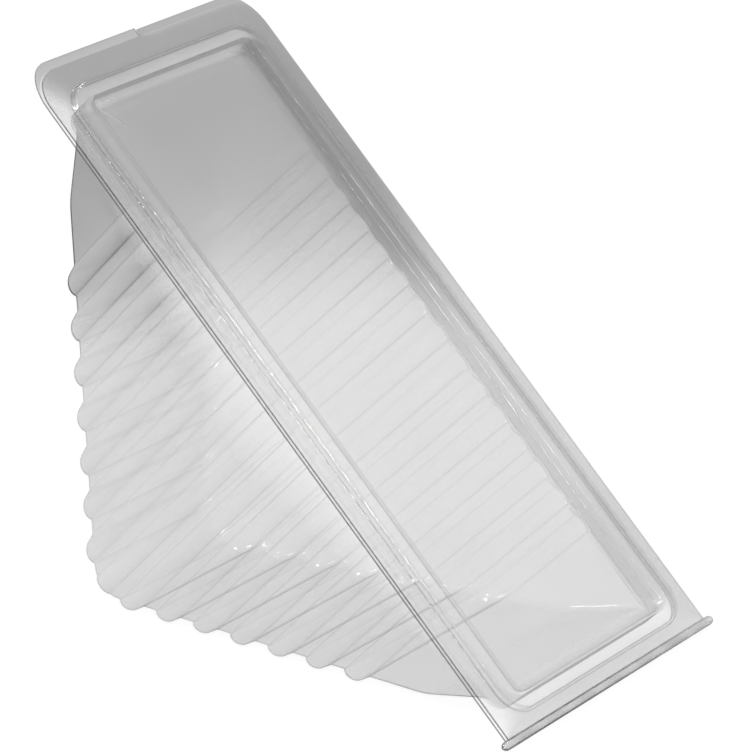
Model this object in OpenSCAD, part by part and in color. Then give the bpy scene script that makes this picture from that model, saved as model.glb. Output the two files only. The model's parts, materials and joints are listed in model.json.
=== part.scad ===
// Clear hinged sandwich wedge pack, one drawn sheet: a triangular tray with ribs that run down
// both side walls and across the two legs, and a flat lid folded over on a strip hinge.
// Everything is drawn with the mouth level, u (x) running from the tab end to the hinge end,
// and is then turned to stand on the leg next to the hinge. Sizes in millimetres.

/* [Sheet] */
// Thickness of the drawn sheet
sheet = 0.4; // [0.3:0.05:0.5]

/* [Mouth] */
// Clear length of the mouth, along the lid
mouth_len = 161.2; // [158:0.2:166]
// Clear width of the mouth
mouth_w = 65.6; // [64:0.2:72]
// Corner radius of the mouth
mouth_r = 5; // [4:0.5:7]
// Depth of the plain band below the rim, down to the ledge
mouth_depth = 4.7; // [3.5:0.1:6]

/* [Rim] */
// Width of the tray flange beside the bead, along each side
flange_side = 6.3; // [5.5:0.1:10]
// How much narrower the lid flange is, both sides together
lid_narrower = 1.2; // [0.4:0.2:2]
// Rise of the tray bead above the flange
bead_rise = 1.5; // [1:0.1:2.5]
// Width of the tray bead along the sides
bead_side = 1.5; // [1.4:0.1:1.8]
// Width of the tray bead across the ends
bead_end = 3.05; // [2.5:0.05:3.5]
// Free play between the tray bead and the lid bead
bead_play = 0.25; // [0.15:0.05:0.4]
// Corner radius of the flanges at the tab end
flange_r = 8; // [6:0.5:10]

/* [Tabs] */
// From the end of the mouth to the plain flange end, away from the hinge
rim_margin = 9.4; // [8.4:0.2:12.4]
// How far the tray tab sticks out past the plain end
tray_tab = 2.4; // [1.5:0.1:5]
// How far the lid tab sticks out past the plain end
lid_tab = 1.8; // [1:0.1:5]

/* [Wedge] */
// Angle of both legs to the lid
leg_angle = 45.75; // [44.5:0.05:46.5]
// Angle of the steeper end walls to the lid
end_angle = 58; // [56:0.5:62]
// Depth at which the end walls turn into the legs
end_depth = 21.2; // [18:0.1:24]
// Radius of the blend between end wall and leg
turn_r = 25; // [15:5:110]
// Width of the ledge across each end of the mouth
end_ledge = 2.9; // [2.6:0.1:5]
// Radius along the spine where the legs meet
spine_r = 7; // [5:0.1:7.5]
// Slope of the side walls
draft = 6.6; // [4:0.1:7.5]
// How far the side walls stand inside the mouth band at rim level
wall_step = 0.8; // [0.7:0.05:1.2]

/* [Ribs] */
// Distance between ribs, along the lid
rib_pitch = 7.7; // [7.4:0.05:7.9]
// Number of ribs each side of the one at the spine
rib_half = 7; // [5:1:7]
// Width of a rib on the side walls
rib_side_w = 5; // [4:0.1:5.6]
// Height of a rib on the side walls
rib_side_h = 0.9; // [0.8:0.05:1.35]
// Width of a rib on the legs, along the leg
rib_leg_w = 7.1; // [6:0.1:8]
// Height of a rib on the legs
rib_leg_h = 1.6; // [1.2:0.1:2.4]

/* [Lid] */
// Width of the lid bead across the ends, from its outside to the panel
lid_bead_end = 4.4; // [4.2:0.05:4.8]
// Width of the lid bead along the sides, from its outside to the panel
lid_bead_side = 5.95; // [5:0.05:6.5]
// Corner radius of the lid panel
panel_r = 2; // [1:0.5:3]

/* [Hinge] */
// From the end of the mouth to the middle of the hinge roll
hinge_margin = 7.4; // [6.4:0.1:9.4]
// Outside radius of the hinge roll
hinge_r = 1.05; // [0.8:0.05:1.2]
// How far the hinge roll sticks out past the tray flange at each end
hinge_over = 1.9; // [0:0.1:3]

/* [Hidden] */
$fn = 48;

// Helper length, longer than the whole pack
reach = 200;
// Overlap that keeps joined and cut bodies from sharing a face
lap = 1;

// Overall width of the tray flange, and its two ends from the middle of the mouth
flange_w = mouth_w + 2 * (bead_side + flange_side);
rim_end = mouth_len / 2 + rim_margin;
hinge_u = mouth_len / 2 + hinge_margin;

// Side wall position at rim level
wall_v = mouth_w / 2 - wall_step;
// Where the end wall meets the ledge
ledge_u = mouth_len / 2 - end_ledge;
// Depth at which the two leg planes would meet
apex = end_depth + (ledge_u - (end_depth - mouth_depth) / tan(end_angle)) * tan(leg_angle);
// Radii of the rib sections, from their width and height
rib_side_r = (pow(rib_side_w / 2, 2) + pow(rib_side_h, 2)) / (2 * rib_side_h);
rib_leg_r = (pow(rib_leg_w / 2, 2) + pow(rib_leg_h, 2)) / (2 * rib_leg_h);
// Depth of the spine roll axis
spine_axis = apex - spine_r / cos(leg_angle);

// Lid bead: it clears the tray bead by the play on every side
lid_grow_end = bead_end + bead_play + sheet;
lid_grow_side = bead_side + bead_play + sheet;
lid_rise = bead_rise + bead_play + sheet;

// Standing height of the level mouth, and the extents along x after turning
lift = apex * cos(leg_angle) + rib_leg_h;
rear_rib_u = -rib_pitch + (rib_leg_r - rib_leg_h) * sin(leg_angle);
rear_rib_z = -apex + rib_pitch * tan(leg_angle) + (rib_leg_r - rib_leg_h) * cos(leg_angle);
x_rear = rear_rib_u * cos(leg_angle) + rear_rib_z * sin(leg_angle) - rib_leg_r;
x_front = hinge_u * cos(leg_angle) + hinge_r;

// Turns the level pack onto the leg next to the hinge, middle of its footprint at the origin
module stand() {
    translate([-(x_rear + x_front) / 2, 0, lift])
        rotate([0, leg_angle, 0])
            children();
}

// Rectangle with round corners, from its half sizes
module round_rect(half_u, half_v, r) {
    square([2 * half_u, 2 * (half_v - r)], center = true);
    square([2 * (half_u - r), 2 * half_v], center = true);
    for (su = [-1, 1], sv = [-1, 1])
        translate([su * (half_u - r), sv * (half_v - r)])
            circle(r);
}

// Mouth outline grown outward, by different amounts across the ends and along the sides
module mouth_plan(grow_end, grow_side) {
    round_rect(mouth_len / 2 + grow_end, mouth_w / 2 + grow_side, mouth_r + min(grow_end, grow_side));
}

// Lid panel outline, grown outward
module panel_plan(grow) {
    round_rect(
        mouth_len / 2 + lid_grow_end - lid_bead_end + grow,
        mouth_w / 2 + lid_grow_side - lid_bead_side + grow,
        panel_r + grow
    );
}

// Flange outline: round corners at the tab end, square at the hinge
module flange_plan(width, end) {
    translate([-end + flange_r, -width / 2])
        square([end - flange_r + hinge_u - hinge_r + sheet, width]);
    translate([-end, -width / 2 + flange_r])
        square([2 * flange_r, width - 2 * flange_r]);
    for (sv = [-1, 1])
        translate([-end + flange_r, sv * (width / 2 - flange_r)])
            circle(flange_r);
}

// Flange with a tab over one half of its end; side is +1 or -1
module tabbed_plan(width, tab, side) {
    flange_plan(width, rim_end);
    intersection() {
        flange_plan(width, rim_end + tab);
        translate([-reach, side > 0 ? 0 : -reach])
            square([reach, reach]);
    }
}

// Half of the roll along the hinge; up is +1 for the lid and -1 for the tray
module hinge_roll(up) {
    rotate([90, 0, 0])
        linear_extrude(height = flange_w + 2 * hinge_over, center = true)
            translate([hinge_u, 0])
                intersection() {
                    difference() {
                        circle(hinge_r);
                        circle(hinge_r - sheet);
                    }
                    translate([-2 * hinge_r, up > 0 ? 0 : -2 * hinge_r])
                        square([4 * hinge_r, 2 * hinge_r]);
                }
}

// Outward directions of the hinge-side leg and of its end wall, in the side view
leg_out = [sin(leg_angle), -cos(leg_angle)];
end_out = [sin(end_angle), -cos(end_angle)];

// Meeting of the end wall and the leg in the side view, both moved in by inset
function turn_u(inset) =
    (apex - inset / cos(leg_angle) - mouth_depth - (ledge_u - inset / sin(end_angle)) * tan(end_angle))
    / (tan(leg_angle) - tan(end_angle));
function turn_point(inset) =
    [turn_u(inset), turn_u(inset) * tan(leg_angle) - apex + inset / cos(leg_angle)];

// Hinge half of the wedge side view: end wall, blend, leg with ribs and half of the spine roll
module half_profile(inset, top) {
    corner = turn_point(inset);
    blend_axis = turn_point(turn_r);
    blend_end = blend_axis + (turn_r - inset) * end_out;
    blend_leg = blend_axis + (turn_r - inset) * leg_out;
    spine_touch = [0, -spine_axis] + (spine_r - inset) * leg_out;
    top_u = ledge_u - inset / sin(end_angle) + (top + mouth_depth) / tan(end_angle);
    polygon([
        [-lap, top],
        [top_u, top],
        blend_end,
        blend_leg,
        spine_touch,
        [-lap, spine_touch[1]]
    ]);
    intersection() {
        polygon([blend_end, corner, blend_leg, blend_end + blend_leg - corner]);
        translate(blend_axis)
            circle(turn_r - inset);
    }
    translate([0, -spine_axis])
        circle(spine_r - inset);
    for (i = [1 : rib_half])
        translate([i * rib_pitch, i * rib_pitch * tan(leg_angle) - apex] + (rib_leg_h - rib_leg_r) * leg_out)
            circle(rib_leg_r - inset);
}

// Side view of the wedge, the same on both halves, moved in by inset
module wedge_profile(inset, top) {
    half_profile(inset, top);
    mirror([1, 0])
        half_profile(inset, top);
}

// Block that ends in one sloping side wall with its ribs, moved in by inset
module wall_block(inset) {
    translate([0, wall_v, 0])
        rotate([-draft, 0, 0])
            translate([0, 0, -reach])
                linear_extrude(2 * reach) {
                    translate([-reach, -reach])
                        square([2 * reach, reach - inset]);
                    for (i = [-rib_half : rib_half])
                        translate([i * rib_pitch, rib_side_h - rib_side_r])
                            circle(rib_side_r - inset);
                }
}

// Solid wedge below the ledge, moved in by inset, up to the given level
module wedge(inset, top) {
    intersection() {
        rotate([90, 0, 0])
            linear_extrude(height = mouth_w + 2 * lap, center = true)
                wedge_profile(inset, top);
        wall_block(inset);
        mirror([0, 1, 0])
            wall_block(inset);
    }
}

// Tray: flange with tab, raised bead, mouth band with ledge, ribbed wedge, lower half of the hinge
module tray() {
    color([0.82, 0.86, 0.88, 0.5])
        stand()
            difference() {
                union() {
                    translate([0, 0, -sheet])
                        linear_extrude(sheet)
                            tabbed_plan(flange_w, tray_tab, -1);
                    translate([0, 0, -sheet])
                        linear_extrude(sheet + bead_rise)
                            mouth_plan(bead_end, bead_side);
                    translate([0, 0, -mouth_depth - sheet])
                        linear_extrude(mouth_depth)
                            mouth_plan(sheet, sheet);
                    wedge(0, -mouth_depth);
                    hinge_roll(-1);
                }
                // Hollow under the bead
                translate([0, 0, -sheet - lap])
                    linear_extrude(lap + bead_rise)
                        difference() {
                            mouth_plan(bead_end - sheet, bead_side - sheet);
                            mouth_plan(sheet, sheet);
                        }
                // Mouth and inside
                translate([0, 0, -mouth_depth])
                    linear_extrude(mouth_depth + bead_rise + lap)
                        mouth_plan(0, 0);
                wedge(sheet, -mouth_depth + lap);
            }
}

// Lid: flange with tab, bead over the tray bead, flat panel at flange level, upper half of the hinge
module lid() {
    color([0.86, 0.89, 0.91, 0.5])
        stand()
            difference() {
                union() {
                    linear_extrude(sheet)
                        tabbed_plan(flange_w - lid_narrower, lid_tab, 1);
                    linear_extrude(lid_rise)
                        mouth_plan(lid_grow_end, lid_grow_side);
                    hinge_roll(1);
                }
                // Hollow of the bead
                translate([0, 0, -lap])
                    linear_extrude(lap + lid_rise - sheet)
                        difference() {
                            mouth_plan(lid_grow_end - sheet, lid_grow_side - sheet);
                            panel_plan(sheet);
                        }
                // Outside of the panel
                translate([0, 0, sheet])
                    linear_extrude(lid_rise)
                        panel_plan(0);
            }
}

tray();
lid();
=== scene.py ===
"""Clear hinged sandwich wedge pack: the drawn sheet of the tray and of the lid as thin smooth skins."""
import json
import math

import bmesh
import bpy
import numpy as np
from mathutils import Matrix, Vector


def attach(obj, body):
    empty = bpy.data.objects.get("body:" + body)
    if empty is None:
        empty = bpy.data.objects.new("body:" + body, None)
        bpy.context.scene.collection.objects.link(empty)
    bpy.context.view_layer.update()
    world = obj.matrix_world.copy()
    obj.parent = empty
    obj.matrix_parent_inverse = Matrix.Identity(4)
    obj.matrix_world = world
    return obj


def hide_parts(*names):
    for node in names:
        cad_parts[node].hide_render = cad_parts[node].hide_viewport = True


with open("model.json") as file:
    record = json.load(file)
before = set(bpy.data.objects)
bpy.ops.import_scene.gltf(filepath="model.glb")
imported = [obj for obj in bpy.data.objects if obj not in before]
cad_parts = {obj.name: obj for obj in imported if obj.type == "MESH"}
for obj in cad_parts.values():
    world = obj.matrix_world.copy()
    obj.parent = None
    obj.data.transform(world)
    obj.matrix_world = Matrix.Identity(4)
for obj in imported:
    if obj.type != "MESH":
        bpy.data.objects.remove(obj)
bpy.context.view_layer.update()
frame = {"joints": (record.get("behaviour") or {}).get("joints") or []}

MM = 0.001

# Shapes are worked out on the level pack, in millimetres: u runs along the lid from the tab end to the
# hinge, v across it and n up from the tray's flange. Near is the side -v and far is the side +v.
# These sizes are the same as in the part's source.
SHEET = 0.4
MOUTH_END, MOUTH_SIDE, MOUTH_R, MOUTH_DEPTH = 80.6, 32.8, 5.0, 4.7
FLANGE_HALF, LID_HALF, FLANGE_R = 40.6, 40.0, 8.0
RIM_END, TRAY_TAB, LID_TAB = 90.0, 2.4, 1.8
BEAD_RISE, BEAD_SIDE, BEAD_END, BEAD_PLAY = 1.5, 1.5, 3.05, 0.25
LID_BEAD_END, LID_BEAD_SIDE, PANEL_R = 4.4, 5.95, 2.0
LEG_ANGLE, END_ANGLE, DRAFT = (math.radians(a) for a in (45.75, 58.0, 6.6))
END_DEPTH, END_LEDGE, TURN_R, SPINE_R, WALL_STEP = 21.2, 2.9, 25.0, 7.0, 0.8
RIB_PITCH, RIB_HALF = 7.7, 7
RIB_SIDE_W, RIB_SIDE_H, RIB_LEG_W, RIB_LEG_H = 5.0, 0.9, 7.1, 1.6
HINGE_U, HINGE_R, HINGE_OVER = 88.0, 1.05, 1.9

WALL_V = MOUTH_SIDE - WALL_STEP
LEDGE_U = MOUTH_END - END_LEDGE
APEX = END_DEPTH + (LEDGE_U - (END_DEPTH - MOUTH_DEPTH) / math.tan(END_ANGLE)) * math.tan(LEG_ANGLE)
SPINE_AXIS = APEX - SPINE_R / math.cos(LEG_ANGLE)
LID_GROW_END = BEAD_END + BEAD_PLAY + SHEET
LID_GROW_SIDE = BEAD_SIDE + BEAD_PLAY + SHEET
LID_RISE = BEAD_RISE + BEAD_PLAY + SHEET
FLANGE_END = HINGE_U - HINGE_R + SHEET / 2

# What forming leaves, finer than the source: radii from wall to leg, from ledge to wall, of the rim's bends
# and from end wall to ledge; of the ribs' edges; and the low step under each side rib with its flank
CORNER_NEAR_R, CORNER_FAR_R = 1.3, 2.2
LIP_NEAR_R, LIP_FAR_R = 0.12, 0.4
BEND_R, END_R = 0.22, 1.6
RIB_EDGE_SIDE, RIB_EDGE_LEG = 0.06, 0.22
RIB_STEP, RIB_FLANK = 0.35, 0.2

# Distance of the tabs' step from the middle, and the gap that keeps the closed lid off the tray's flange
STEP_V, LID_GAP = 0.03, 0.03

# Painted shade: share of the sheet's grey, 1 where it is plain, set lighter or darker by region as the light
# falls: on the ends, along the near side and along the far side
BAND_SHADE, TRAY_BEAD_SHADE, LID_BEAD_SHADE = (0.5, 0.15, 2.0), (0.8, 0.4, 0.3), (0.9, 0.6, 0.5)
TRAY_FLANGE_SHADE, LID_FLANGE_SHADE = (1.0, 0.2, 1.1), (1.0, 0.3, 1.4)
# Painted shade of the tabs, which lie single, of the top of the near wall and of the legs
TAB_SHADE, NEAR_TOP_SHADE, LEG_SHADE = 1.1, 0.15, 1.04
# Painted highlight: what the lid's bead loses of its grey at the hinge end and the tab end; and painted shade
# at the foot of its wall
HINGE_BEAD_HIGHLIGHT, TAB_BEAD_HIGHLIGHT = 0.75, 0.45
HINGE_FOOT_SHADE, TAB_FOOT_SHADE = 2.2, 0.5

# Painted shade: dark lines where the sheet is bent, 0 where it is flat and 1 on a tight bend, set side
# by side: the tabs, the ribs, the wedge's corners and lips; the lid's folds on the ends, along the near
# side and along the far side, and the other rim bends
TAB_BEND, RIB_BEND = 0.45, 0.5
CORNER_NEAR_BEND, CORNER_FAR_BEND = 1.4, 0.1
LIP_NEAR_BEND, LIP_FAR_BEND = 0.1, 0.6
LID_FOLD_BEND, LID_TOP_BEND = (0.45, 1.0, 0.35), 0.2
TRAY_BENDS = 0.2, 0.1, 0.1, 0.2

# The hinge joint ties the level pack to the standing frame
crease = Vector(frame["joints"][0]["pos_m"]) / MM
CREASE_U = HINGE_U + HINGE_R
SHIFT = crease.x - CREASE_U * math.cos(LEG_ANGLE)
LIFT = crease.z + CREASE_U * math.sin(LEG_ANGLE)


def stand(level):
    """Level points (u, v, n) in mm, turned about v by the leg angle and lifted onto the table, in metres."""
    u, v, n = np.moveaxis(np.asarray(level, float), -1, 0)
    c, s = math.cos(LEG_ANGLE), math.sin(LEG_ANGLE)
    return np.stack([u * c + n * s + SHIFT, v, n * c - u * s + LIFT], -1) * MM


def grid_faces(rows, cols, first=0, wrap=False):
    """Quads of a grid of points stored row by row; wrap also joins the last column to the first."""
    index = first + np.arange(rows * cols).reshape(rows, cols)
    if wrap:
        index = np.concatenate([index, index[:, :1]], 1)
    a, b = index[:-1, :-1], index[:-1, 1:]
    c, d = index[1:, 1:], index[1:, :-1]
    return np.stack([a, b, c, d], -1).reshape(-1, 4)


def sheet_piece(name, level, faces, materials, body, slot_name, outside, thickness=SHEET):
    """A skin with the sheet's thickness behind it. Each point holds u, v, n and two marks for the
    material: how much of the grey the sheet has there, partly haze and partly painted shade, and how dark a
    painted shade line it has where it is bent. Doubles are merged, faces turned to the outside direction,
    thickness added, and sharp edges marked."""
    merge, sharp = 0.004 * MM, math.radians(48)
    mesh = bpy.data.meshes.new(name)
    mesh.from_pydata(stand(level[:, :3]).tolist(), [], faces.tolist())
    for material in materials:
        mesh.materials.append(material)
    for column, mark in ((3, "haze_and_shade"), (4, "bend_shade")):
        values = level[:, column].astype(np.float32)
        mesh.attributes.new(mark, "FLOAT", "POINT").data.foreach_set("value", values)
    work = bmesh.new()
    work.from_mesh(mesh)
    bmesh.ops.remove_doubles(work, verts=work.verts, dist=merge)
    bmesh.ops.dissolve_degenerate(work, edges=work.edges, dist=merge)
    bmesh.ops.recalc_face_normals(work, faces=work.faces)
    if sum(f.normal.dot(outside) * f.calc_area() for f in work.faces) < 0:
        bmesh.ops.reverse_faces(work, faces=work.faces)
    work.to_mesh(mesh)
    work.free()
    piece = bpy.data.objects.new(name, mesh)
    bpy.context.scene.collection.objects.link(piece)
    wall = piece.modifiers.new("sheet", "SOLIDIFY")
    wall.thickness = thickness * MM
    wall.offset = -1
    wall.use_even_offset = False
    wall.material_offset_rim = 1
    wall.material_offset = 2
    seen = piece.evaluated_get(bpy.context.evaluated_depsgraph_get())
    thick = bpy.data.meshes.new_from_object(seen)
    piece.modifiers.clear()
    piece.data = thick
    thick.name = name
    thick.shade_smooth()
    thick.set_sharp_from_angle(angle=sharp)
    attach(piece, body)
    return piece


def marked(points, haze_and_shade, bend_shade=0.0):
    """Points with their two marks, each one number or one for each point."""
    return np.concatenate([points, np.stack(np.broadcast_arrays(haze_and_shade, bend_shade, points[..., 0])[:2], -1)], -1)


# Outlines of the rim

def corner_turn(loop, flat):
    """Angle of each loop point about the middle of its corner: 0 along the ends, a right angle along
    the sides. flat is the half length and half width of the straight stretches of the loop."""
    beyond = np.maximum(np.abs(loop[:, :2]) - np.array(flat), 0)
    return np.arctan2(beyond[:, 1], beyond[:, 0])


def outline(loop, flat, end, half, r, level, square=False):
    """A rounded rectangle that follows a loop of points: each loop point keeps its share of the straight
    sides, and near a corner it keeps its angle about the corner's middle. end is the half length, or one
    for the tab end and one for the hinge end; with square, the corners at the hinge end are nearly sharp."""
    u, v = loop[:, 0], loop[:, 1]
    su, sv = np.sign(u), np.sign(v)
    turn = corner_turn(loop, flat)
    tab_end, hinge_end = np.broadcast_to(end, 2)
    end = np.where(u > 0, hinge_end, tab_end)
    r = np.where((u > 0) & square, BEND_R, r)
    base_u = su * (end - r) * np.minimum(np.abs(u) / flat[0], 1)
    base_v = sv * (half - r) * np.minimum(np.abs(v) / flat[1], 1)
    return np.stack([base_u + su * r * np.cos(turn), base_v + sv * r * np.sin(turn), level + 0 * u], -1)


def round_loop(loop, flat, values):
    """A mark round a loop, from its values on the ends, along the near side and along the far side,
    blended by the squares of cosine and sine at the corners."""
    end, near, far = values
    turn = corner_turn(loop, flat)
    return end * np.cos(turn) ** 2 + np.where(loop[:, 1] < 0, near, far) * np.sin(turn) ** 2


def tabbed(flange, loop, flat, tab, side):
    """Two more outlines that push the end of a flange out to a tab over one half of its width; the sheet
    of the tab has its own marks, which start a lip's width out."""
    lip = 0.15
    on = (loop[:, 0] < 0) & (loop[:, 1] * side > 0)
    reach = np.where(on, np.cos(corner_turn(loop, flat)), 0)
    rings = []
    for out in (lip, tab):
        ring = flange.copy()
        ring[:, 0] -= out * reach
        ring[:, 3] += (TAB_SHADE - ring[:, 3]) * reach
        ring[:, 4] += (TAB_BEND - ring[:, 4]) * reach
        rings.append(ring)
    return rings


def bent(stations, marks, steps):
    """Rounds each inner corner of a path of stations: the corner is cut back on both sides by the bend's
    radius, or by a quarter of a short side, and bridged by a parabola. The parabola and a narrow line
    beside each end of it get the corner's mark, and one more ring keeps the sheet beside it flat and
    unmarked."""
    line = 0.06
    cut, lined, plain = (BEND_R, 0.25), (BEND_R + line, 0.32), (BEND_R + 2 * line, 0.45)
    out = [stations[0]]
    for before, here, after, mark in zip(stations, stations[1:], stations[2:], marks):
        span = [np.hypot(np.abs(p[:, :2] - here[:, :2]).max(), np.abs(p[:, 2] - here[:, 2]).max())
                for p in (before, after)]

        def beside(k, reach, limit):
            return here + ((before, after)[k] - here) * min(reach / span[k], limit)

        a, b = beside(0, *cut), beside(1, *cut)
        rings = [beside(0, *lined)]
        rings += [(1 - q) ** 2 * a + 2 * q * (1 - q) * here + q * q * b for q in np.linspace(0, 1, steps)]
        rings += [beside(1, *lined)]
        for ring in rings:
            ring[:, 4] = mark
        out += [beside(0, *plain), *rings, beside(1, *plain)]
    return np.stack(out + [stations[-1]])


# The wedge of the tray

def leg_depth(u, inset):
    """Depth of the wedge skin at u along the lid: spine roll, straight leg, blend and end wall from the
    middle outward, and the round ribs wherever they reach deeper."""
    a = np.abs(u)
    k, slope = math.tan(LEG_ANGLE), math.tan(END_ANGLE)

    # Middle of the blend: the leg and the end wall, both moved in by its radius, meet there
    apex = APEX - TURN_R / math.cos(LEG_ANGLE)
    ledge = LEDGE_U - TURN_R / math.sin(END_ANGLE)
    blend_u = (apex - MOUTH_DEPTH - ledge * slope) / (k - slope)
    blend_depth = apex - blend_u * k

    leg = APEX - inset / math.cos(LEG_ANGLE) - k * a
    end = MOUTH_DEPTH + (LEDGE_U - inset / math.sin(END_ANGLE) - a) * slope
    blend = blend_depth + np.sqrt(np.maximum((TURN_R - inset) ** 2 - (a - blend_u) ** 2, 0))
    roll = SPINE_AXIS + np.sqrt(np.maximum((SPINE_R - inset) ** 2 - a ** 2, 0))
    depth = np.where(a < (SPINE_R - inset) * math.sin(LEG_ANGLE), roll, leg)
    on_blend = a > blend_u + (TURN_R - inset) * math.sin(LEG_ANGLE)
    on_end = a > blend_u + (TURN_R - inset) * math.sin(END_ANGLE)
    depth = np.where(on_end, end, np.where(on_blend, blend, depth))

    rib_r = ((RIB_LEG_W / 2) ** 2 + RIB_LEG_H ** 2) / (2 * RIB_LEG_H)
    sunk = rib_r - RIB_LEG_H
    middle = np.arange(1, RIB_HALF + 1)[:, None] * RIB_PITCH
    off = a - middle + sunk * math.sin(LEG_ANGLE)
    axis = APEX - k * middle - sunk * math.cos(LEG_ANGLE)
    round_rib = axis + np.sqrt(np.maximum((rib_r - inset) ** 2 - off ** 2, 0))
    rib = np.where(np.abs(off) < rib_r - inset, round_rib, 0)
    return np.maximum(depth, rib.max(0))


def side_rib(u, inset):
    """How far the side wall stands out at u: over each rib an arc on a low step with steep flanks, level
    between the ribs."""
    r = ((RIB_SIDE_W / 2) ** 2 + RIB_SIDE_H ** 2) / (2 * RIB_SIDE_H)
    off = u - RIB_PITCH * np.clip(np.round(u / RIB_PITCH), -RIB_HALF, RIB_HALF)
    arc = RIB_SIDE_H - r + inset + np.sqrt(np.maximum((r - inset) ** 2 - off ** 2, 0))
    arc = np.where(np.abs(off) < r - inset, np.maximum(arc, 0), 0)
    step = np.clip((RIB_SIDE_W / 2 - np.abs(off)) / RIB_FLANK, 0, 1)
    return (1 - RIB_STEP / RIB_SIDE_H) * arc + RIB_STEP * step


def softened(values, step, radius):
    """Values along a line, smoothed by a bell curve of that radius, with the ends drawn on straight."""
    reach = int(4 * radius / step)
    bell = np.exp(-0.5 * (np.arange(-reach, reach + 1) * step / radius) ** 2)
    tail = np.arange(1, reach + 1)
    before = values[0] - (values[1] - values[0]) * tail[::-1]
    after = values[-1] + (values[-1] - values[-2]) * tail
    return np.convolve(np.concatenate([before, values, after]), bell / bell.sum(), "valid")


def tightness(values, step):
    """How tightly a line of values is bent, from 0 below one curvature (in radians for each mm) to 1 above
    another."""
    from_turn, to_turn = 0.5, 1.6
    slope = np.gradient(values, step)
    turn = np.abs(np.gradient(slope, step)) / (1 + slope ** 2) ** 1.5
    return np.clip((turn - from_turn) / (to_turn - from_turn), 0, 1)


def parabola(a, b, c, count):
    """Points of a parabola from a to c, with b where its end tangents meet, as columns."""
    t = np.linspace(0, 1, count)[None, :]
    return (1 - t) ** 2 * a + 2 * t * (1 - t) * b + t ** 2 * c


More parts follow.
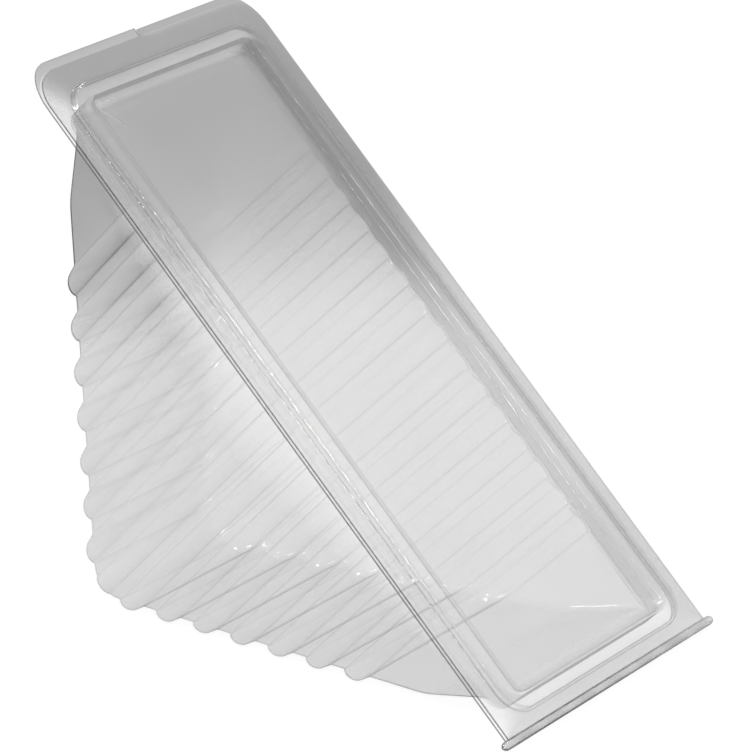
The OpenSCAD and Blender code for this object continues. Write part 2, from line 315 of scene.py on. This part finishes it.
def wedge_skin():
    """Inside of the wedge as a grid. Each row is the section at one u: over the lip from the ledge, down
    one side wall, round the corner by a parabola, across the leg and up the other wall. Rows crowd where
    the ribs turn, and the columns of the leg crowd where its ends meet the round corners of the mouth
    and at the step of the tabs. The ends roll out into the ledge by a parabola. The lips, the ribs' edges
    and the corners get painted shade lines, set side by side, that fade down the walls; the legs and the
    top of the near wall get their own painted shade."""
    # Rows, and columns on a lip, a wall, a corner, the leg, and the leg beside a corner of the mouth
    rows, lip, wall, corner, floor, beside = 310, 4, 5, 7, 18, 7
    samples, roll_samples, crowding = 8001, 60, 2.2

    end = LEDGE_U - SHEET / math.sin(END_ANGLE)
    last = end + END_R
    fine = np.linspace(-last, last, samples)
    step = fine[1] - fine[0]
    q = np.linspace(0, 1, roll_samples)
    roll_u = end - END_R * math.cos(END_ANGLE) * (1 - q) ** 2 + END_R * q ** 2
    roll_d = MOUTH_DEPTH + END_R * math.sin(END_ANGLE) * (1 - q) ** 2
    depth = softened(leg_depth(fine, SHEET), step, RIB_EDGE_LEG)
    depth = np.where(np.abs(fine) > roll_u[0], np.interp(np.abs(fine), roll_u, roll_d), depth)
    out = softened(side_rib(fine, SHEET), step, RIB_EDGE_SIDE)
    leg_bend, side_bend = tightness(depth, step), tightness(out, step)

    # Painted shade: a rib's line shows most on one flank: towards the hinge on the far wall, towards the tab
    # on the near one
    flank_blur, other_flank = 0.15, 0.25
    flank = np.where(softened(np.gradient(out, step), step, flank_blur) < 0, 1, other_flank)

    turn = sum(np.abs(np.gradient(np.gradient(line, step), step)) for line in (depth, out))
    crowd = np.cumsum(1 + crowding * np.sqrt(np.maximum(softened(turn, step, 3 * step), 0)))
    crowd = (crowd - crowd[0]) / (crowd[-1] - crowd[0])
    u = np.interp(np.linspace(0, 1, rows), crowd, fine)
    lines = depth, out, leg_bend, side_bend * flank, side_bend * flank[::-1]
    depth, out, leg_bend, far_bend, near_bend = (np.interp(u, fine, line)[:, None] for line in lines)
    depth = np.maximum(depth, MOUTH_DEPTH)
    depth[[0, -1]] = MOUTH_DEPTH

    fall = math.tan(DRAFT)
    deep = depth - MOUTH_DEPTH
    rim_v = WALL_V - SHEET / math.cos(DRAFT) + out - MOUTH_DEPTH * fall
    foot_v = rim_v - deep * fall
    down = np.concatenate([[0.015, 0.05], np.linspace(0, 1, wall)[1:-1], [0.985]])[None]

    def side(corner_r, lip_r):
        """Lip, wall and corner of one side, and the v where its leg begins; both radii shrink where the
        wedge is shallow."""
        r, lip_r = np.minimum(corner_r, 0.5 * deep), np.minimum(lip_r, 0.3 * deep)
        top_v, top_d = rim_v - lip_r * fall, MOUTH_DEPTH + lip_r
        cut_v, cut_d = foot_v + r * fall, depth - r
        v = np.concatenate([parabola(rim_v + lip_r, rim_v, top_v, lip), top_v + (cut_v - top_v) * down,
                            parabola(cut_v, foot_v, foot_v - r, corner)], 1)
        d = np.concatenate([parabola(MOUTH_DEPTH, MOUTH_DEPTH, top_d, lip), top_d + (cut_d - top_d) * down,
                            parabola(cut_d, depth, depth, corner)], 1)
        return v, d, foot_v - r

    far_v, far_d, far_foot = side(CORNER_FAR_R, LIP_FAR_R)
    near_v, near_d, near_foot = side(CORNER_NEAR_R, LIP_NEAR_R)
    flat_v = MOUTH_SIDE - MOUTH_R
    gap = last - (MOUTH_END - MOUTH_R)
    fan = np.linspace(0, math.atan2(rim_v[0, 0] - flat_v, gap), beside)
    share = (flat_v + gap * np.tan(fan)) / rim_v[0, 0]
    half = np.concatenate([[STEP_V / rim_v[0, 0]], np.linspace(0, share[0], floor // 2 + 1)[1:], share[1:-1]])
    leg_v = np.concatenate([far_foot * half[None, ::-1], -near_foot * half[None]], 1)
    v = np.concatenate([far_v, leg_v, -near_v[:, ::-1]], 1)
    d = np.concatenate([far_d, depth + 0 * leg_v, near_d[:, ::-1]], 1)

    def wall_bend(wall_d, rib, lip_bend, corner_bend, rise, fade, over):
        """Painted shade lines of one side, where the sheet bends: the ribs' lines, stronger ones on lip and
        corner where they exceed them, growing over a rise below the ledge, then losing a share of fade over a
        depth."""
        turned = np.linspace(0, 1, corner)[None]
        on_lip = np.maximum(rib, lip_bend * np.array([[0.1, 1, 1, 0.1]]))
        on_corner = np.maximum(rib + (leg_bend - rib) * turned, 4 * turned * (1 - turned) * corner_bend)
        mark = np.concatenate([on_lip, rib + 0 * down, on_corner], 1)
        grown = np.clip((wall_d - MOUTH_DEPTH) / rise, 0.15, 1)
        return mark * grown * (1 - fade * np.clip((wall_d - 2 * MOUTH_DEPTH) / over, 0, 1))

    # Painted shade: the far ribs' lines fade towards the hinge, and the near corner's line is strongest at
    # the tab end
    far_fade = np.interp(u, (-35, 20), (1, 0.3))[:, None]
    near_line = CORNER_NEAR_BEND * np.interp(u, (-58, -48, 0), (6, 2.2, 1))[:, None]
    far_mark = wall_bend(far_d, RIB_BEND * far_bend * far_fade, LIP_FAR_BEND, CORNER_FAR_BEND,
                         rise=0.01, fade=0.9, over=35)
    near_mark = wall_bend(near_d, RIB_BEND * near_bend, LIP_NEAR_BEND, near_line,
                          rise=4, fade=0.85, over=45)
    bend_shade = np.concatenate([far_mark, RIB_BEND * leg_bend + 0 * leg_v, near_mark[:, ::-1]], 1)
    # Painted shade on the legs and on the top of the near wall
    haze_and_shade = np.ones(v.shape[1])
    haze_and_shade[far_v.shape[1]:-near_v.shape[1]] = LEG_SHADE
    haze_and_shade[-lip - 2:] = NEAR_TOP_SHADE
    grid = np.stack([np.repeat(u[:, None], v.shape[1], 1), v, -d], -1)
    return marked(grid, haze_and_shade, bend_shade)


# Skins

def loop_of(grid):
    """Edge of a grid as one closed ring of points: along the first column, the last row, the last column
    and the first row."""
    return np.concatenate([grid[:, 0], grid[-1, 1:-1], grid[::-1, -1], grid[0, ::-1][1:-1]])


def skin_with_rim(grid, rims):
    """Points and faces of a grid and of the rim rings that grow out of its edge."""
    points = np.concatenate([grid.reshape(-1, 5), rims.reshape(-1, 5)])
    faces = np.concatenate([grid_faces(*grid.shape[:2]),
                            grid_faces(*rims.shape[:2], first=grid.shape[0] * grid.shape[1], wrap=True)])
    return points, faces


def tray_skin():
    """Upper skin of the tray: the wedge, then the ledge, the mouth band, the bead and the flange with its
    tab, each an outline at its level, with bends between them."""
    grid = wedge_skin()
    loop = loop_of(grid)
    flat = (MOUTH_END - MOUTH_R, MOUTH_SIDE - MOUTH_R)
    inner = 0.35
    bead_end, bead_side, bead_r = MOUTH_END + BEAD_END, MOUTH_SIDE + BEAD_SIDE, MOUTH_R + BEAD_SIDE
    # Painted shade, set on the ends, along the near side and along the far side
    band, bead, plain = (round_loop(loop, flat, shades)
                         for shades in (BAND_SHADE, TRAY_BEAD_SHADE, TRAY_FLANGE_SHADE))

    def ring(end, half, r, level, haze_and_shade, square=False):
        return marked(outline(loop, flat, end, half, r, level, square), haze_and_shade)

    flange = ring((RIM_END, FLANGE_END), FLANGE_HALF, FLANGE_R, 0, plain, square=True)
    stations = [
        ring(MOUTH_END - inner, MOUTH_SIDE - inner, MOUTH_R - inner, -MOUTH_DEPTH, band),
        ring(MOUTH_END, MOUTH_SIDE, MOUTH_R, -MOUTH_DEPTH, band),
        ring(MOUTH_END, MOUTH_SIDE, MOUTH_R, BEAD_RISE, band),
        ring(bead_end, bead_side, bead_r, BEAD_RISE, bead),
        ring(bead_end, bead_side, bead_r, 0, plain),
        flange,
    ]
    rims = [loop[None], bent(stations, TRAY_BENDS, steps=3), tabbed(flange, loop, flat, TRAY_TAB, -1)]
    return skin_with_rim(grid, np.concatenate(rims))


def lid_skin():
    """Upper skin of the lid: the flat panel, the bead round it with sloping walls, and the flange with
    its tab, each an outline at its level, with bends between them. A painted highlight makes the panel
    lighter along its tab end, by an exponential fall, most at the corners. A shallow crease with a
    bell-shaped section runs into it from one corner, with a painted highlight along it, and at its hinge
    end the bead's wall leans out by a parabola."""
    panel_end = MOUTH_END + LID_GROW_END - LID_BEAD_END
    panel_side = MOUTH_SIDE + LID_GROW_SIDE - LID_BEAD_SIDE
    edge, slant, bow, pitch = 2.4, 0.35, 0.8, 0.45
    glow_reach, glow_loss = 3.5, 0.7
    crease_u, crease_v = 0.81, 0.585
    crease_half, crease_deep, crease_end, crease_fade, crease_highlight = 0.3, 0.1, 11, 3, 0.9
    border = np.linspace(0, edge, 9)

    def spread(half, count, fine):
        """Places from -half to half: crowded along both borders, a pitch apart out to fine from the first
        one, then even, with one on each side of the tabs' step."""
        even = np.linspace(-half + edge, half - edge, count)[1:-1]
        close = np.arange(-half + edge, -half + fine, pitch)[1:]
        middle = np.concatenate([close, even[even > -half + fine]])
        return np.sort(np.concatenate([-half + border, middle, half - border, [-STEP_V, STEP_V]]))

    u, v = spread(panel_end - PANEL_R, 60, 14), spread(panel_side - PANEL_R, 26, 10)
    # Painted highlight: the panel's grey falls away along its tab end, most at the corners, and along the
    # crease
    glow = np.exp(-(u[:, None] + u[-1]) / glow_reach) * (0.5 + 0.5 * (v[None] / v[-1]) ** 2)
    from_u, from_v = u[:, None] + panel_end, v[None] + panel_side
    along = from_u * crease_u + from_v * crease_v
    aside = from_u * crease_v - from_v * crease_u
    creased = np.exp(-(aside / crease_half) ** 2) * np.clip((crease_end - along) / crease_fade, 0, 1)
    panel_n = SHEET - crease_deep * creased
    grid = marked(np.stack(np.broadcast_arrays(u[:, None], v[None, :], panel_n), -1),
                  (1 - glow_loss * glow) * (1 - crease_highlight * creased))
    loop = loop_of(grid)
    flat = (u[-1] - edge, v[-1] - edge)
    bead_end, bead_side = MOUTH_END + LID_GROW_END, MOUTH_SIDE + LID_GROW_SIDE
    bead_r = MOUTH_R + LID_GROW_SIDE
    bead, plain, fold = (round_loop(loop, flat, marks)
                         for marks in (LID_BEAD_SHADE, LID_FLANGE_SHADE, LID_FOLD_BEND))
    at_end = np.cos(corner_turn(loop, flat)) ** 2
    at_hinge, at_tab = np.where(loop[:, 0] > 0, at_end, 0), np.where(loop[:, 0] < 0, at_end, 0)
    # Painted highlight on the bead at both ends; painted shade at the foot of its wall, darker at the hinge
    # end and lighter at the tab end
    bead = bead * (1 - HINGE_BEAD_HIGHLIGHT * at_hinge - TAB_BEAD_HIGHLIGHT * at_tab)
    foot = 1 + (HINGE_FOOT_SHADE - 1) * at_hinge + (TAB_FOOT_SHADE - 1) * at_tab

    def ring(end, half, r, level, haze_and_shade, square=False):
        return marked(outline(loop, flat, end, half, r, level, square), haze_and_shade)

    inside = ring(panel_end + slant, panel_side + slant, PANEL_R + slant, LID_RISE, bead)
    inside[:, 0] += bow * at_hinge * (1 - (inside[:, 1] / panel_side) ** 2)
    flange = ring((RIM_END, FLANGE_END), LID_HALF, FLANGE_R, SHEET, plain, square=True)
    stations = [
        loop,
        ring(panel_end, panel_side, PANEL_R, SHEET, foot),
        inside,
        ring(bead_end - slant, bead_side - slant, bead_r - slant, LID_RISE, bead),
        ring(bead_end, bead_side, bead_r, SHEET, plain),
        flange,
    ]
    rims = [bent(stations, (fold, LID_TOP_BEND, LID_TOP_BEND, fold), steps=4),
            tabbed(flange, loop, flat, LID_TAB, 1)]
    return skin_with_rim(grid, np.concatenate(rims))


def hinge_skin(up):
    """Outside of one half of the hinge roll: a half circle about the roll's axis, carried across the pack
    and drawn in by an ellipse at both ends. Its grey, haze and painted shade, comes and goes along it, as
    the product of two sine waves, and two bell-shaped smears of painted shade darken it, most halfway
    round; up is 1 for the lid's half and -1 for the tray's."""
    turn = np.linspace(0, math.pi, 25)[:, None]
    reach, drawn, least = FLANGE_HALF + HINGE_OVER, 1.5, 0.5
    tip = np.linspace(0, drawn, 9)
    straight = np.linspace(-reach + drawn, reach - drawn, 120)[1:-1]
    v = np.concatenate([-reach + tip, straight, reach - tip[::-1]])[None]
    in_end = np.clip((reach - np.abs(v)) / drawn, 0, 1)
    r = HINGE_R * (least + (1 - least) * np.sqrt(1 - (1 - in_end) ** 2))
    grid = np.stack(np.broadcast_arrays(HINGE_U + r * np.cos(turn), v, up * r * np.sin(turn)), -1)
    patch = np.sin(0.31 * v + 0.8) * np.sin(0.83 * v - 0.5)
    smear_shade = np.exp(-((v - 28) / 6) ** 2) + 0.7 * np.exp(-((v + 33) / 5) ** 2)
    haze_and_shade, bend_shade = 1.1 + 0.4 * patch + 0 * turn, 0.4 * smear_shade * np.sin(turn) ** 2
    return marked(grid, haze_and_shade, bend_shade).reshape(-1, 5), grid_faces(*grid.shape[:2])


# Materials

def linear(hex_colour):
    """sRGB hex to linear red, green, blue and a full alpha."""
    value = np.array([int(hex_colour[i:i + 2], 16) for i in (1, 3, 5)]) / 255
    value = np.where(value <= 0.04045, value / 12.92, ((value + 0.055) / 1.055) ** 2.4)
    return (*value.tolist(), 1.0)


WHITE = linear("#ffffff")


def bare_tree(owner):
    """Node tree of a new material or world, emptied."""
    owner.use_nodes = True
    owner.node_tree.nodes.clear()
    return owner.node_tree


def node(tree, kind, inputs=(), **settings):
    """Adds a node: settings name its properties or its sockets, and inputs are pairs of a socket and what
    goes into it, another node's output or a plain value."""
    made = tree.nodes.new(kind)
    for key, value in settings.items():
        if key in made.bl_rna.properties:
            setattr(made, key, value)
        else:
            made.inputs[key.replace("_", " ")].default_value = value
    for socket, source in inputs:
        if isinstance(source, bpy.types.NodeSocket):
            tree.links.new(source, made.inputs[socket])
        else:
            made.inputs[socket].default_value = source
    return made


def clear_sheet(name, line, shade_from_height, shade_to_height, haze_shade_least, haze_shade_most):
    """Clear PET sheet, vacuum formed over a mould. Most light goes straight through. A faint grey covers
    it, partly haze and partly painted shade: its least share below one height in mm and its most above
    another, so the upper part is painted darker, and more where the sheet is seen at a slant. It turns to
    the line's colour, a painted dark line, where the sheet is seen edge on or where the mark of its bends
    paints a line, and a hard gloss mirrors the lamps, broken up by the slight waves of the drawn sheet."""
    haze, line = linear("#b8b8b8"), linear(line)
    wave_mm, wave_rise_mm = 9, 0.4
    edge_on, bend_share, line_share, slant_gain = 0.8, 0.55, 0.8, 1.2
    through_share, gloss_share = 0.5, 0.06
    material = bpy.data.materials.new(name)
    tree = bare_tree(material)

    coords = node(tree, "ShaderNodeTexCoord").outputs["Object"]
    wave = node(tree, "ShaderNodeTexNoise", [("Vector", coords)], Scale=1 / (wave_mm * MM), Detail=1.0)
    bump = node(tree, "ShaderNodeBump", [("Height", wave.outputs["Fac"])],
                Strength=0.12, Distance=wave_rise_mm * MM)
    rough = node(tree, "ShaderNodeMapRange", [("Value", wave.outputs["Fac"])], To_Min=0.03, To_Max=0.09)
    # Painted shade: the grey's share grows with height, darker towards the top of the pack
    height = node(tree, "ShaderNodeSeparateXYZ", [("Vector", coords)]).outputs["Z"]
    height_shade = node(tree, "ShaderNodeMapRange", [("Value", height)], interpolation_type="SMOOTHSTEP",
                From_Min=shade_from_height * MM, From_Max=shade_to_height * MM, To_Min=haze_shade_least, To_Max=haze_shade_most)
    haze_and_shade = node(tree, "ShaderNodeAttribute", attribute_name="haze_and_shade").outputs["Fac"]
    bend_shade = node(tree, "ShaderNodeAttribute", attribute_name="bend_shade").outputs["Fac"]
    facing = node(tree, "ShaderNodeLayerWeight", Blend=0.5).outputs["Facing"]

    edge = node(tree, "ShaderNodeMapRange", [("Value", facing)], From_Min=edge_on, From_Max=1.0)
    bent_line = node(tree, "ShaderNodeMath", [(0, bend_shade), (1, bend_share)], operation="MULTIPLY")
    dark = node(tree, "ShaderNodeMath", [(0, edge.outputs["Result"]), (1, bent_line.outputs[0])],
                operation="MAXIMUM")
    tilt = node(tree, "ShaderNodeMath", [(0, facing), (1, facing)], operation="MULTIPLY")
    length = node(tree, "ShaderNodeMath", [(0, tilt.outputs[0]), (1, slant_gain), (2, 1.0)],
                  operation="MULTIPLY_ADD")
    local = node(tree, "ShaderNodeMath", [(0, height_shade.outputs["Result"]), (1, haze_and_shade)], operation="MULTIPLY")
    share = node(tree, "ShaderNodeMath", [(0, local.outputs[0]), (1, length.outputs[0])],
                 operation="MULTIPLY", use_clamp=True)
    alpha = node(tree, "ShaderNodeMix", [(0, dark.outputs[0]), (2, share.outputs[0]), (3, line_share)])
    tone = node(tree, "ShaderNodeMix", [(0, dark.outputs[0]), (6, haze), (7, line)], data_type="RGBA")

    front = node(tree, "ShaderNodeBsdfDiffuse", [("Color", tone.outputs[2])])
    back = node(tree, "ShaderNodeBsdfTranslucent", [("Color", tone.outputs[2])])
    film = node(tree, "ShaderNodeMixShader",
                [(0, through_share), (1, front.outputs[0]), (2, back.outputs[0])])
    clear = node(tree, "ShaderNodeBsdfTransparent", Color=WHITE)
    body = node(tree, "ShaderNodeMixShader",
                [(0, alpha.outputs[0]), (1, clear.outputs[0]), (2, film.outputs[0])])
    gloss = node(tree, "ShaderNodeBsdfGlossy",
                 [("Roughness", rough.outputs["Result"]), ("Normal", bump.outputs["Normal"])], Color=WHITE)
    mix = node(tree, "ShaderNodeMixShader", [(0, gloss_share), (1, body.outputs[0]), (2, gloss.outputs[0])])
    node(tree, "ShaderNodeOutputMaterial", [("Surface", mix.outputs[0])])
    return material


def clear_back(name):
    """Other face of the clear PET sheet. The mould side shows the haze and the gloss for both, so this one
    only lets the light through, a trace less where the sheet drew thicker."""
    thick_mm = 20
    material = bpy.data.materials.new(name)
    tree = bare_tree(material)
    coords = node(tree, "ShaderNodeTexCoord").outputs["Object"]
    thick = node(tree, "ShaderNodeTexNoise", [("Vector", coords)], Scale=1 / (thick_mm * MM), Detail=0.0)
    shade = node(tree, "ShaderNodeMix", [(0, thick.outputs["Fac"]), (6, WHITE), (7, linear("#fbfbfb"))],
                 data_type="RGBA")
    through = node(tree, "ShaderNodeBsdfTransparent", [("Color", shade.outputs[2])])
    node(tree, "ShaderNodeOutputMaterial", [("Surface", through.outputs[0])])
    return material


def cut_edge(name):
    """Die-cut edge of the PET sheet: a painted shade line stands for the light that runs inside the sheet,
    darker on the near side and paler towards the far side, and the blade leaves it slightly rough."""
    edge_shade, far_edge_shade = linear("#808080"), linear("#f0f0f0")
    nick_mm, edge_shade_to_mm, far_edge_shade_from_mm, gloss_share = 1.5, -20, 38, 0.1
    material = bpy.data.materials.new(name)
    tree = bare_tree(material)
    coords = node(tree, "ShaderNodeTexCoord").outputs["Object"]
    nick = node(tree, "ShaderNodeTexNoise", [("Vector", coords)], Scale=1 / (nick_mm * MM), Detail=3.0)
    rough = node(tree, "ShaderNodeMapRange", [("Value", nick.outputs["Fac"])], To_Min=0.2, To_Max=0.4)
    across = node(tree, "ShaderNodeSeparateXYZ", [("Vector", coords)]).outputs["Y"]
    share = node(tree, "ShaderNodeMapRange", [("Value", across)],
                 From_Min=edge_shade_to_mm * MM, From_Max=far_edge_shade_from_mm * MM)
    shade = node(tree, "ShaderNodeMix", [(0, share.outputs["Result"]), (6, edge_shade), (7, far_edge_shade)],
                 data_type="RGBA")
    through = node(tree, "ShaderNodeBsdfTransparent", [("Color", shade.outputs[2])])
    gloss = node(tree, "ShaderNodeBsdfGlossy", [("Roughness", rough.outputs["Result"])], Color=WHITE)
    mix = node(tree, "ShaderNodeMixShader",
               [(0, gloss_share), (1, through.outputs[0]), (2, gloss.outputs[0])])
    node(tree, "ShaderNodeOutputMaterial", [("Surface", mix.outputs[0])])
    return material


def seen_ray(tree):
    """1 for rays that show the background: from the camera, off gloss and through clear sheet."""
    path = node(tree, "ShaderNodeLightPath").outputs
    some = node(tree, "ShaderNodeMath", [(0, path["Is Camera Ray"]), (1, path["Is Glossy Ray"])],
                operation="MAXIMUM")
    return node(tree, "ShaderNodeMath", [(0, some.outputs[0]), (1, path["Is Transmission Ray"])],
                operation="MAXIMUM").outputs[0]


def white_floor():
    """Matt white paper floor that shows as white and keeps a soft shadow."""
    white_share = 0.93
    material = bpy.data.materials.new("white_paper_floor")
    tree = bare_tree(material)
    paper = node(tree, "ShaderNodeBsdfDiffuse", Color=linear("#f2f2f2"))
    glow = node(tree, "ShaderNodeEmission", Color=WHITE, Strength=1.0)
    share = node(tree, "ShaderNodeMath", [(0, seen_ray(tree)), (1, white_share)], operation="MULTIPLY")
    mix = node(tree, "ShaderNodeMixShader",
               [(0, share.outputs[0]), (1, paper.outputs[0]), (2, glow.outputs[0])])
    node(tree, "ShaderNodeOutputMaterial", [("Surface", mix.outputs[0])])
    return material


# Pieces; each sheet has a mould face, a cut edge and a back

lid_up = Vector((math.sin(LEG_ANGLE), 0, math.cos(LEG_ANGLE)))
tray_edge, tray_back = cut_edge("cut_edge_of_the_tray_sheet"), clear_back("clear_PET_tray_back")
lid_edge, lid_back = cut_edge("cut_edge_of_the_lid_sheet"), clear_back("clear_PET_lid_back")
# Painted shade: the grey grows between the two heights in mm, darker towards the top; the line colour paints
# the dark lines along bends
tray_face = clear_sheet("clear_PET_vacuum_formed_tray", "#303030", 57, 99, 0.26, 0.68)
lid_face = clear_sheet("clear_PET_vacuum_formed_lid", "#303030", 71, 117, 0.18, 0.80)
roll_face = clear_sheet("clear_PET_folded_hinge_roll", "#b0b0b0", 57, 99, 0.3, 0.68)

tray = sheet_piece("tray_skin", *tray_skin(), (tray_face, tray_edge, tray_back), "tray", "tray_sheet", lid_up)
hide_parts("tray")
lid = sheet_piece("lid_skin", *lid_skin(), (lid_face, lid_edge, lid_back), "lid", "lid_sheet", lid_up,
                  SHEET - LID_GAP)
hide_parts("lid")
sheet_piece("tray_hinge_roll", *hinge_skin(-1), (roll_face, tray_edge, tray_back), "tray", "tray_sheet",
            -lid_up)
sheet_piece("lid_hinge_roll", *hinge_skin(1), (roll_face, lid_edge, lid_back), "lid", "lid_sheet", lid_up)

# Stage, lamps and camera

scene = bpy.context.scene
scene.view_settings.view_transform = "Standard"
scene.cycles.transparent_max_bounces = 32
scene.cycles.max_bounces, scene.cycles.glossy_bounces = 2, 2
scene.cycles.diffuse_bounces, scene.cycles.transmission_bounces = 0, 0

FLOOR_HALF, FLOOR_DROP = 4.0, 0.0003
corners = [(x * FLOOR_HALF, y * FLOOR_HALF, -FLOOR_DROP) for x, y in ((-1, -1), (1, -1), (1, 1), (-1, 1))]
floor_mesh = bpy.data.meshes.new("floor")
floor_mesh.from_pydata(corners, [], [(0, 1, 2, 3)])
floor_mesh.materials.append(white_floor())
floor = bpy.data.objects.new("floor", floor_mesh)
scene.collection.objects.link(floor)

world = bpy.data.worlds.new("white_studio")
scene.world = world
sky_tree = bare_tree(world)
strength = node(sky_tree, "ShaderNodeMapRange", [("Value", seen_ray(sky_tree))], To_Min=0.6, To_Max=1.0)
sky = node(sky_tree, "ShaderNodeBackground", [("Strength", strength.outputs["Result"])], Color=WHITE)
node(sky_tree, "ShaderNodeOutputWorld", [("Surface", sky.outputs[0])])


def looking(place, direction):
    """Matrix of a lamp or camera at a place, turned to look along a direction."""
    return Matrix.Translation(place) @ direction.to_track_quat("-Z", "Y").to_matrix().to_4x4()


def softbox(name, place, width, height, watts):
    """Area lamp at a place in metres, turned to the middle of the pack."""
    aim = Vector((0, 0, 0.06))
    data = bpy.data.lights.new(name, "AREA")
    data.shape, data.size, data.size_y, data.energy = "RECTANGLE", width, height, watts
    lamp = bpy.data.objects.new(name, data)
    lamp.matrix_world = looking(Vector(place), aim - Vector(place))
    scene.collection.objects.link(lamp)


softbox("key_left", (-0.88, -0.75, 0.76), 0.24, 0.9, 19)
softbox("front_right", (0.54, -0.76, 0.81), 0.27, 0.27, 9)
softbox("top_back", (-0.1, 0.8, 1.1), 0.3, 0.3, 9)

# Camera fitted to the flange edges and ribs of the photograph
CAMERA_TURN, CAMERA_RISE, CAMERA_ROLL = (math.radians(a) for a in (34.864, 19.603, -0.763))
CAMERA_AIM, CAMERA_FAR, CAMERA_LENS = Vector((0.00212, -0.00033, 0.06085)), 1.0833, 234.57
back = Vector((math.sin(CAMERA_TURN) * math.cos(CAMERA_RISE), -math.cos(CAMERA_TURN) * math.cos(CAMERA_RISE),
               math.sin(CAMERA_RISE)))
lens = bpy.data.cameras.new("camera")
lens.lens, lens.sensor_width = CAMERA_LENS, 36.0
camera = bpy.data.objects.new("camera", lens)
scene.collection.objects.link(camera)
camera.matrix_world = looking(CAMERA_AIM + back * CAMERA_FAR, -back) @ Matrix.Rotation(CAMERA_ROLL, 4, "Z")
scene.camera = camera
